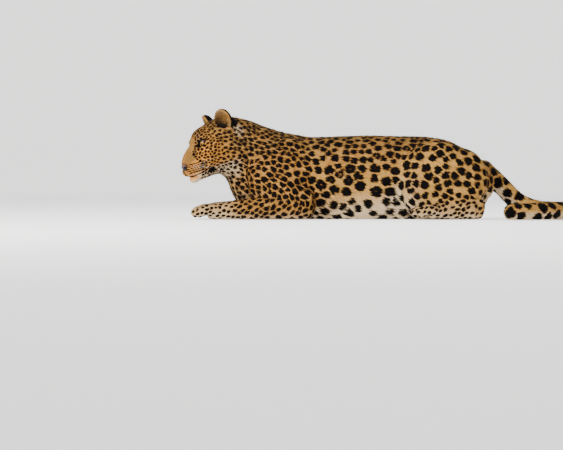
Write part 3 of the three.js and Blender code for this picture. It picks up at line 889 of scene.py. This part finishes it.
def tuft_arrays(data, count, rng):
    """Blades of three triangles: roots on the skin, a raised middle and a tip that lies along the coat."""
    quads, p, n = data["quads"], data["p"], data["n"]
    _, normal = face_frames(p, quads)
    length, width, thick = tuft_sizes(data)
    weight = norm(normal) * thick[quads].min(1)
    face = np.sort(rng.choice(len(quads), count, p=weight / weight.sum()))
    u, v = rng.random(count), rng.random(count)
    shares = np.stack([(1 - u) * (1 - v), u * (1 - v), u * v, (1 - u) * v], 1)[..., None]

    def at(values):
        gathered = values[quads[face]]
        return (gathered * (shares if gathered.ndim == 3 else shares[..., 0])).sum(1)

    place, up, ahead = at(p), unit(at(n)), unit(at(data["lie"]))
    long, wide = at(length) * rng.uniform(0.75, 1.25, count), at(width) * rng.uniform(0.8, 1.2, count)
    across = np.cross(up, ahead)
    swing = rng.normal(0, 0.17, (count, 1))
    way = unit(ahead + across * swing)
    side = np.cross(up, way) * wide[:, None] * 0.5
    long = long[:, None]
    rise = rng.uniform(0.08, 0.24, (count, 1))
    root = place - way * long * 0.4 - up * 0.7
    middle = root + way * long * 0.5 + up * long * (rise + 0.05)
    tip = root + way * long + up * long * rise
    points = np.stack([root - side, root + side, middle - side * 0.85, middle + side * 0.85, tip], 1)
    points[..., 2] = np.maximum(points[..., 2], 0.5)
    shade = unit(up + rng.normal(0, 0.2, (count, 3)) + way * rng.uniform(-0.3, 0.1, (count, 1)))
    uv = (flat_places()[face] * shares).sum(1)
    weights = (data["weights"][:, quads[face]] * shares[..., 0]).sum(2)
    marks = paint(place, up, weights, data["blobs"], data["centres"])
    marks["tone"] = np.abs(rng.normal(0, 1, count)) * 0.16
    return points, shade, uv, marks


BLADE_POINTS = 5
BLADE = np.array([[0, 3, 1], [0, 2, 3], [2, 4, 3]])
BLADE_UV = np.array([[-1.5, -1.5], [1.5, -1.5], [-1.2, 0], [1.2, 0], [0, 1.5]]) * 0.001


# Meshes.

def to_frame(p):
    return (p + SHIFT) * MM


def build_mesh(name, points, faces, material, normals=None, marks=None, corner_uv=None):
    """A mesh from arrays, in the row's frame. Its faces all have the same number of corners."""
    def fill(target, key, values, kind=np.float32):
        target.foreach_set(key, np.asarray(values, kind).ravel())

    mesh = bpy.data.meshes.new(name)
    mesh.vertices.add(len(points))
    fill(mesh.vertices, "co", to_frame(points))
    mesh.loops.add(faces.size)
    fill(mesh.loops, "vertex_index", faces, np.int32)
    mesh.polygons.add(len(faces))
    fill(mesh.polygons, "loop_start", np.arange(0, faces.size, faces.shape[1]), np.int32)
    fill(mesh.polygons, "use_smooth", np.ones(len(faces)), bool)
    for key, values in (marks or {}).items():
        fill(mesh.attributes.new(key, "FLOAT", "POINT").data, "value", values)
    if corner_uv is not None:
        fill(mesh.uv_layers.new(name="OFBake").data, "uv", corner_uv)
    mesh.update()
    mesh.validate()
    if normals is not None:
        mesh.normals_split_custom_set_from_vertices(normals.astype(np.float32))
    mesh.materials.append(material)
    piece = bpy.data.objects.new(name, mesh)
    bpy.context.scene.collection.objects.link(piece)
    return piece


def place_piece(piece, nodes=()):
    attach(piece, "root")
    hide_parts(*nodes)


def tube(points, radii, sides):
    """Rings of points round a line, and their quads, with the ends left open."""
    points = np.asarray(points, float)
    along = unit(np.gradient(points, axis=0))
    up = unit(np.cross(along, [0.3, 0.5, 0.8]))
    beside = np.cross(along, up)
    turn = np.linspace(0, 2 * math.pi, sides, endpoint=False)
    ring = up[:, None] * np.cos(turn)[:, None] + beside[:, None] * np.sin(turn)[:, None]
    rings = points[:, None] + ring * np.asarray(radii, float)[:, None, None]
    return rings.reshape(-1, 3), grid_quads(len(points), sides)


def grid_quads(rows, columns):
    """Quads of a grid of points whose rows close on themselves."""
    row = np.arange(rows - 1)[:, None] * columns
    here = np.arange(columns)[None]
    after, below = (here + 1) % columns, row + columns
    corners = np.broadcast_arrays(row + here, row + after, below + after, below + here)
    return np.stack(corners, -1).reshape(-1, 4)


def join_parts(parts):
    """One list of points and faces from several."""
    points, faces, count = [], [], 0
    for q, f in parts:
        points.append(q)
        faces.append(f + count)
        count += len(q)
    return np.concatenate(points), np.concatenate(faces)


# Materials.

def colour(*rgb):
    """An sRGB colour from 0 to 255 as a linear one, with nothing see-through."""
    linear = [c / 255 / 12.92 if c <= 10 else ((c / 255 + 0.055) / 1.055) ** 2.4 for c in rgb]
    return (*linear, 1.0)


class Shader:
    """A new material and short ways to add its nodes."""

    def __init__(self, name, roughness, specular):
        self.material = bpy.data.materials.new(name)
        self.material.use_nodes = True
        self.tree = self.material.node_tree
        self.surface = self.tree.nodes["Principled BSDF"]
        self.set(self.surface, Roughness=roughness)
        self.surface.inputs["Specular IOR Level"].default_value = specular

    def set(self, node, **values):
        for key, value in values.items():
            node.inputs[key].default_value = value

    def add(self, kind, **settings):
        node = self.tree.nodes.new(kind)
        for key, value in settings.items():
            setattr(node, key, value)
        return node

    def link(self, source, target):
        self.tree.links.new(source, target)

    def feed(self, value, socket):
        if isinstance(value, (float, int, tuple)):
            socket.default_value = value
        else:
            self.link(value, socket)

    def attribute(self, name):
        return self.add("ShaderNodeAttribute", attribute_name=name).outputs["Fac"]

    def math(self, operation, *values):
        node = self.add("ShaderNodeMath", operation=operation)
        for socket, value in zip(node.inputs, values):
            self.feed(value, socket)
        return node.outputs[0]

    def ramp(self, value, low, high, to_low=0.0, to_high=1.0):
        node = self.add("ShaderNodeMapRange", interpolation_type="SMOOTHSTEP")
        keys = ("Value", "From Min", "From Max", "To Min", "To Max")
        for key, v in zip(keys, (value, low, high, to_low, to_high)):
            self.feed(v, node.inputs[key])
        return node.outputs["Result"]

    def mix(self, factor, a, b):
        node = self.add("ShaderNodeMix", data_type="RGBA")
        for socket, value in zip((node.inputs[0], node.inputs[6], node.inputs[7]), (factor, a, b)):
            self.feed(value, socket)
        return node.outputs[2]

    def noise(self, scale, detail):
        texture = self.add("ShaderNodeTexNoise")
        self.set(texture, Scale=scale, Detail=detail)
        self.link(self.add("ShaderNodeTexCoord").outputs["Object"], texture.inputs["Vector"])
        return texture.outputs["Fac"]

    def bump(self, height, strength, distance):
        node = self.add("ShaderNodeBump")
        self.set(node, Strength=strength, Distance=distance)
        self.link(height, node.inputs["Height"])
        self.link(node.outputs["Normal"], self.surface.inputs["Normal"])

    def paint(self, value):
        self.feed(value, self.surface.inputs["Base Color"])
        return self.material


@cache
def coat_material():
    """Gold, tan and pale fur with black spots, led by the marks that the skin and tufts carry."""
    settings = bpy.context.scene.leopard
    s = Shader("leopard_coat", 0.8, 0.05)
    ragged = s.math("ADD", s.attribute("dark"), s.math("MULTIPLY_ADD", s.noise(420, 1.0), 3.0, -1.5))
    spot = s.ramp(ragged, -0.7, 0.9, 1.0, 0.0)
    golden = s.mix(s.attribute("warm"), tuple(settings.coat_gold), tuple(settings.coat_tan))
    # Darker coat colour, which is partly painted shade on the forearms and in the ear hollows.
    darker_and_shaded = s.mix(s.attribute("darker_coat_and_shade"), golden, colour(104, 70, 28))
    # Painted shade deep in the ear hollows, where the mark goes over 1.
    hollow_painted_shade = s.mix(s.ramp(s.attribute("darker_coat_and_shade"), 1.0, 2.0), darker_and_shaded, colour(52, 32, 18))
    patchy = s.mix(s.ramp(s.noise(14, 3.0), 0.35, 0.8), hollow_painted_shade, colour(150, 98, 40))
    pale = s.mix(s.ramp(s.attribute("white"), 0.0, 1.0), patchy, tuple(settings.coat_pale))
    ringed = s.mix(s.math("MULTIPLY", s.attribute("centre"), 0.8), pale, colour(126, 70, 22))
    streaked = s.mix(s.math("MULTIPLY", s.noise(900, 1.0), 0.5), ringed, colour(96, 58, 20))
    tipped = s.mix(s.attribute("tone"), streaked, colour(234, 188, 112))
    s.bump(s.noise(260, 3.0), 0.35, 0.0015)
    return s.paint(s.mix(spot, tipped, tuple(settings.spot_black)))


@cache
def eye_material():
    """Amber iris with a round pupil. The number is the angle from the pupil's middle, in degrees."""
    s = Shader("leopard_eye", 0.22, 0.12)
    angle = s.attribute("angle")
    amber = tuple(bpy.context.scene.leopard.eye_amber)
    iris = s.mix(s.ramp(angle, 12.0, 30.0), amber, colour(150, 102, 40))
    streaked = s.mix(s.math("MULTIPLY", s.noise(700, 2.0), 0.4), iris, colour(110, 74, 34))
    limbus = s.mix(s.ramp(angle, 31.0, 35.0), streaked, colour(52, 36, 26))
    return s.paint(s.mix(s.ramp(angle, 10.5, 12.5), colour(8, 7, 7), limbus))


@cache
def lid_material():
    return Shader("leopard_lids", 0.32, 0.5).paint(colour(24, 18, 17))


@cache
def nose_material():
    s = Shader("leopard_nose", 0.5, 0.2)
    s.bump(s.noise(1500, 2.0), 0.3, 0.0005)
    blotch = s.ramp(s.attribute("rim"), 0.0, 1.0)
    return s.paint(s.mix(blotch, colour(74, 47, 36), colour(12, 9, 8)))


@cache
def whisker_material():
    return Shader("leopard_whiskers", 0.35, 0.4).paint(colour(206, 196, 176))


@cache
def floor_material():
    s = Shader("pale_floor", 0.9, 0.1)
    s.surface.inputs["Emission Color"].default_value = colour(250, 250, 250)
    s.surface.inputs["Emission Strength"].default_value = 0.85
    return s.paint(colour(236, 235, 232))


# Settings.

def colour_property(name, description, *rgb):
    return FloatVectorProperty(name=name, description=description, default=colour(*rgb),
                               size=4, min=0.0, max=1.0, subtype="COLOR")


class LeopardSettings(bpy.types.PropertyGroup):
    """The numbers and colours that a user would change"""
    seed: IntProperty(
        name="Seed", description="Changes where the spots and tufts fall", default=7, min=0)
    spot_density: FloatProperty(
        name="Spot Density", description="More than 1 crowds the spots", default=1.0, min=0.5, max=2.0)
    tuft_count: IntProperty(
        name="Tufts", description="Tufts in each piece of fur", default=64000, min=1000, max=66000)
    whisker_length: FloatProperty(
        name="Whisker Length", description="Length of the longest whisker", default=0.085, min=0.02, max=0.2,
        subtype="DISTANCE", unit="LENGTH")
    camera_distance: FloatProperty(
        name="Camera Distance", description="From the camera to the leopard", default=9.0, min=2.0, max=30.0,
        subtype="DISTANCE", unit="LENGTH")
    lens: FloatProperty(
        name="Lens", description="Focal length of the camera", default=180.0, min=20.0, max=400.0,
        subtype="DISTANCE_CAMERA")
    coat_gold: colour_property("Gold", "Ground colour of the trunk and tail", 180, 134, 64)
    coat_tan: colour_property("Tan", "Ground colour of the head and forelegs", 208, 132, 42)
    coat_pale: colour_property("Pale", "Underside and pale patches", 216, 196, 164)
    spot_black: colour_property("Black", "Spots, rosettes and lips", 9, 6, 6)
    eye_amber: colour_property("Amber", "Iris round the pupil", 190, 140, 56)


# Operators.

FRONT_NODES = ("head", "ear", "neck", "forepaw", "forearm")
FUR_PIECES = 5
EYE_SIDES, LID_SIDES = 96, 72


class LEOPARD_OT_skin(bpy.types.Operator):
    """Wrap one skin over the flesh, with the spots, rosettes and pale parts of the coat"""
    bl_idname = "leopard.skin"
    bl_label = "Add Skin"

    def execute(self, context):
        data = skin()
        front = data["p"][data["quads"]].mean(1)[:, 0] < PARTED_AT
        flesh_nodes = [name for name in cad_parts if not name.startswith(("eye", "nose"))]
        for name, chosen in (("skin_front", front), ("skin_back", ~front)):
            used, faces = np.unique(data["quads"][chosen], return_inverse=True)
            marks = {key: data[key][used] for key in MARKS}
            marks["tone"] = np.zeros(len(used))
            piece = build_mesh(name, data["p"][used], faces.reshape(-1, 4), coat_material(), data["n"][used],
                               marks, flat_places()[chosen])
            in_front = name == "skin_front"
            place_piece(piece, [n for n in flesh_nodes if n.startswith(FRONT_NODES) == in_front])
        return {"FINISHED"}


class LEOPARD_OT_fur(bpy.types.Operator):
    """Cover the skin with short tufts that lie along the body, thinnest on the face and feet"""
    bl_idname = "leopard.fur"
    bl_label = "Add Fur"

    def execute(self, context):
        settings = context.scene.leopard
        each = settings.tuft_count
        rng = np.random.default_rng(settings.seed + 1)
        points, shade, uv, marks = tuft_arrays(skin(), each * FUR_PIECES, rng)
        faces = (np.arange(each)[:, None, None] * BLADE_POINTS + BLADE).reshape(-1, 3)
        for k in range(FUR_PIECES):
            part = slice(k * each, (k + 1) * each)
            corner_uv = (uv[part][:, None] + BLADE_UV).reshape(-1, 2)[faces]
            piece_marks = {key: np.repeat(values[part], BLADE_POINTS) for key, values in marks.items()}
            piece = build_mesh(f"fur_{k + 1}", points[part].reshape(-1, 3), faces, coat_material(),
                               np.repeat(shade[part], BLADE_POINTS, 0), piece_marks, corner_uv)
            place_piece(piece)
        return {"FINISHED"}


class LEOPARD_OT_eyes(bpy.types.Operator):
    """Set the eyes in their lids, with a black rim round each opening"""
    bl_idname = "leopard.eyes"
    bl_label = "Add Eyes"

    def execute(self, context):
        for y, side in SIDES:
            gaze = heading(0.86, y * 0.44, 0.02)
            beside = unit(np.cross(gaze, UP))
            up = np.cross(beside, gaze)
            down = np.radians(np.concatenate([np.linspace(0.4, 40, 60), np.linspace(44, 179.6, 30)]))
            turn = np.linspace(0, 2 * math.pi, EYE_SIDES, endpoint=False)
            ring = beside[None] * np.cos(turn)[:, None] + up[None] * np.sin(turn)[:, None]
            bulge = 1.1 * smooth(36, 10, np.degrees(down))
            way = gaze * np.cos(down)[:, None, None] + ring[None] * np.sin(down)[:, None, None]
            ball_points = eye_at(y) + way * (EYE_RADIUS + bulge)[:, None, None]
            angle = np.repeat(np.degrees(down), EYE_SIDES)
            eye = build_mesh(f"eyeball_{side}", from_head(ball_points.reshape(-1, 3)),
                             grid_quads(len(down), EYE_SIDES), eye_material(), None, {"angle": angle})
            place_piece(eye, [f"eye_{side}"])
            rim = build_mesh(f"lid_rim_{side}", *lid_rim(y), lid_material())
            place_piece(rim)
        return {"FINISHED"}


def lid_rim(y):
    """A thin rounded band round the eye's opening, resting on the eyeball."""
    out, along, across = eye_axes(y)
    reach = math.sqrt(LID_RADIUS**2 - LID_OFFSET**2)
    u = reach * np.cos(np.linspace(0, 2 * math.pi, LID_SIDES, endpoint=False))
    v = np.sqrt(np.maximum(LID_RADIUS**2 - u**2, 0)) - LID_OFFSET
    v = np.where(np.arange(LID_SIDES) < LID_SIDES / 2, v, -v)
    depth = np.sqrt(np.maximum((EYE_RADIUS + 0.9) ** 2 - u**2 - v**2, 4))
    line = eye_at(y) + u[:, None] * along + v[:, None] * across + depth[:, None] * out
    closed = np.vstack([line, line[:1]])
    points, quads = tube(closed, np.full(len(closed), 1.25), 10)
    return from_head(points), quads


class LEOPARD_OT_nose(bpy.types.Operator):
    """Add the nose leather with its two nostrils"""
    bl_idname = "leopard.nose"
    bl_label = "Add Nose"

    def execute(self, context):
        axes = [np.arange(92, 130, 0.7), np.arange(-22, 22.1, 0.7), np.arange(-48, -17, 0.7)]
        points, quads = surface(nose_field, axes)
        rim = np.clip(smooth(5, 0.5, nostril_distance(points)) + smooth(-38, -44, points[:, 2]), 0, 1)
        piece = build_mesh("nose_leather", from_head(points), quads, nose_material(), None, {"rim": rim})
        place_piece(piece, ["nose"])
        return {"FINISHED"}


def nostril_distance(h):
    """Distance to the nostrils, each a round opening with a slit behind it."""
    q = np.stack([h[:, 0] - 121, np.abs(h[:, 1]) - 10, h[:, 2] + 36], 1)
    slit = np.stack([h[:, 0] - 117, np.abs(h[:, 1]) - 15, h[:, 2] + 37], 1)
    return soft_min(ellipsoid(q, vec(8, 4.6, 4.2)), ellipsoid(slit, vec(6, 6, 2)), 2)


def nose_field(h):
    """The nose leather: an egg with a flattened front, a middle groove and two nostrils."""
    leather = ellipsoid(h - NOSE_AT, NOSE_SIZE)
    front = (h - [119.5, 0, -33]) @ heading(1, 0, 0.2)
    leather = soft_max(leather, front, 4)
    groove = np.hypot(h[:, 1], h[:, 0] - 121)
    leather = soft_max(leather, 1.6 - groove, 1.5)
    return soft_max(leather, -nostril_distance(h), 1.5)


class LEOPARD_OT_whiskers(bpy.types.Operator):
    """Add the whiskers of the muzzle and the few above the eyes"""
    bl_idname = "leopard.whiskers"
    bl_label = "Add Whiskers"

    def execute(self, context):
        rng = np.random.default_rng(context.scene.leopard.seed + 2)
        longest = context.scene.leopard.whisker_length / MM
        parts = []
        for y in (1, -1):
            for row in range(3):
                for k in range(3):
                    x = 104 - 10 * k - 3 * row
                    root = surface_point(x, -39.5 - 5.8 * row, vec(0.15, y * 1.0, 0))
                    length = longest * rng.uniform(0.55, 1.0) * (0.7 + 0.1 * k)
                    rise = 0.2 - 0.14 * row + rng.uniform(-0.06, 0.06)
                    way = heading(-0.2 - 0.25 * k, y * 0.9, rise)
                    parts.append(whisker(root, way, length, 0.15))
            for k in range(2):
                root = surface_point(50 - 7 * k, 40, vec(0.0, y * 1.0, 0))
                way = heading(0.5, y * (0.3 + 0.2 * k), 0.9)
                parts.append(whisker(root, way, longest * rng.uniform(0.3, 0.45), 0.12))
        points, quads = join_parts(parts)
        piece = build_mesh("whiskers", from_head(points), quads, whisker_material())
        place_piece(piece)
        return {"FINISHED"}


def whisker(root, way, length, radius):
    """One bristle that starts under the skin, droops backwards and thins towards its tip."""
    t = np.linspace(0, 1, 14)[:, None]
    line = root - way * 1.5 + way * length * t + vec(-0.22, 0, -0.3) * length * t**2
    return tube(line, radius * (1 - 0.85 * t[:, 0]), 5)


def round_room():
    """A floor that curves up into a wall all round, far outside any view's camera."""
    turn = np.linspace(0, math.pi / 2, 12)
    curve = np.stack([ROOM_RADIUS + ROOM_CURVE * np.sin(turn), ROOM_CURVE * (1 - np.cos(turn))], 1)
    profile = np.vstack([[0.01, 0.0], [1.0, 0.0], curve, [ROOM_RADIUS + ROOM_CURVE, ROOM_HEIGHT]])
    around = np.linspace(0, 2 * math.pi, ROOM_SIDES, endpoint=False)
    x, y = profile[:, :1] * np.cos(around), profile[:, :1] * np.sin(around)
    z = np.broadcast_to(profile[:, 1:], x.shape)
    return np.stack([x, y, z], -1).reshape(-1, 3) / MM - SHIFT, grid_quads(len(profile), ROOM_SIDES)


def add_object(name, data, place, target):
    """A lamp or camera that looks from a place to a target."""
    thing = bpy.data.objects.new(name, data)
    thing.location = place
    thing.rotation_euler = (target - thing.location).to_track_quat("-Z", "Y").to_euler()
    bpy.context.scene.collection.objects.link(thing)
    return thing


class LEOPARD_OT_stage(bpy.types.Operator):
    """Add the pale floor, the soft light and the camera"""
    bl_idname = "leopard.stage"
    bl_label = "Add Stage"

    def execute(self, context):
        scene, settings = context.scene, context.scene.leopard
        points, faces = round_room()
        build_mesh("floor", points, faces, floor_material())
        for name, (place, size, power) in LAMPS.items():
            lamp = bpy.data.lights.new(name, "AREA")
            lamp.shape = "DISK"
            lamp.size = size
            lamp.energy = power
            add_object(name, lamp, place, LAMP_TARGET)
        world = bpy.data.worlds.new("soft_sky")
        world.use_nodes = True
        sky = world.node_tree.nodes["Background"].inputs
        sky["Color"].default_value = (0.86, 0.9, 1.0, 1.0)
        sky["Strength"].default_value = 0.4
        scene.world = world
        lens = bpy.data.cameras.new("camera")
        lens.lens = settings.lens
        lens.sensor_width = 36.0
        lens.clip_end = 200.0
        aim = Vector(to_frame(CAMERA_AIM))
        place = aim + Vector((0, -settings.camera_distance, CAMERA_RISE))
        scene.camera = add_object("camera", lens, place, aim)
        return {"FINISHED"}


class LEOPARD_PT_panel(bpy.types.Panel):
    """Buttons and settings of the leopard"""
    bl_label = "Leopard"
    bl_space_type = "VIEW_3D"
    bl_region_type = "UI"
    bl_category = "Leopard"

    def draw(self, context):
        for name in LeopardSettings.__annotations__:
            self.layout.prop(context.scene.leopard, name)
        for operator in OPERATORS:
            self.layout.operator(operator.bl_idname)


OPERATORS = (LEOPARD_OT_skin, LEOPARD_OT_fur, LEOPARD_OT_eyes, LEOPARD_OT_nose, LEOPARD_OT_whiskers,
             LEOPARD_OT_stage)
CLASSES = (LeopardSettings, *OPERATORS, LEOPARD_PT_panel)


def register():
    for each in CLASSES:
        bpy.utils.register_class(each)
    bpy.types.Scene.leopard = PointerProperty(type=LeopardSettings)


def unregister():
    del bpy.types.Scene.leopard
    for each in reversed(CLASSES):
        bpy.utils.unregister_class(each)


def main():
    register()
    bpy.ops.leopard.skin()
    bpy.ops.leopard.fur()
    bpy.ops.leopard.eyes()
    bpy.ops.leopard.nose()
    bpy.ops.leopard.whiskers()
    bpy.ops.leopard.stage()


if __name__ == "__main__":
    main()
